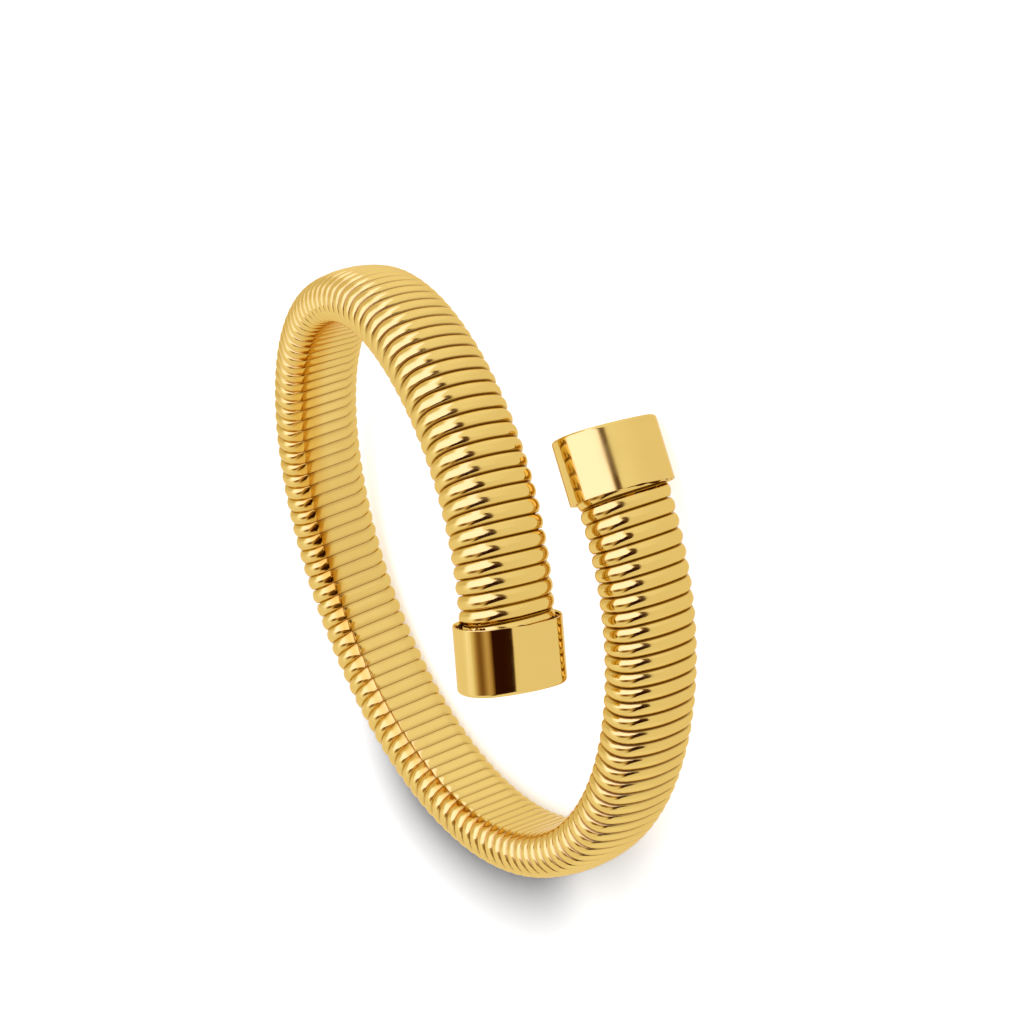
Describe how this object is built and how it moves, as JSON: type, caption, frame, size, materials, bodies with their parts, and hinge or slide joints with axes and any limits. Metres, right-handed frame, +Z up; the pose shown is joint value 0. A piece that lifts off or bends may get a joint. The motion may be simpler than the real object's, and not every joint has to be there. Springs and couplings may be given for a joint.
{
  "type": "spiral coil bracelet",
  "caption": "Open wrap bangle of a domed gold-coloured metal strip wound into a flat-backed coil, its ends passing each other and closed by plain polished cups.",
  "frame": {"origin": "on the floor, under the middle of the bangle's box, the bangle lying on its side", "axes": "+Z up, the wrist opening along Z within about 7 degrees; the two overlapping ends face -Y, the lower end towards +X"},
  "size_m": [0.0718, 0.0706, 0.0273],
  "materials": {
    "ribbed_gold": "polished gold plate over wound strip",
    "polished_gold": "mirror polished gold plate",
    "spring_steel": "plain rolled strip",
    "solder": "gold plated solder, slightly rough"
  },
  "bodies": {
    "root": {"coil_strip": "ribbed_gold", "inner_spring": "spring_steel", "lower_end_cup": "polished_gold", "upper_end_cup": "polished_gold"}
  },
  "joints": []
}
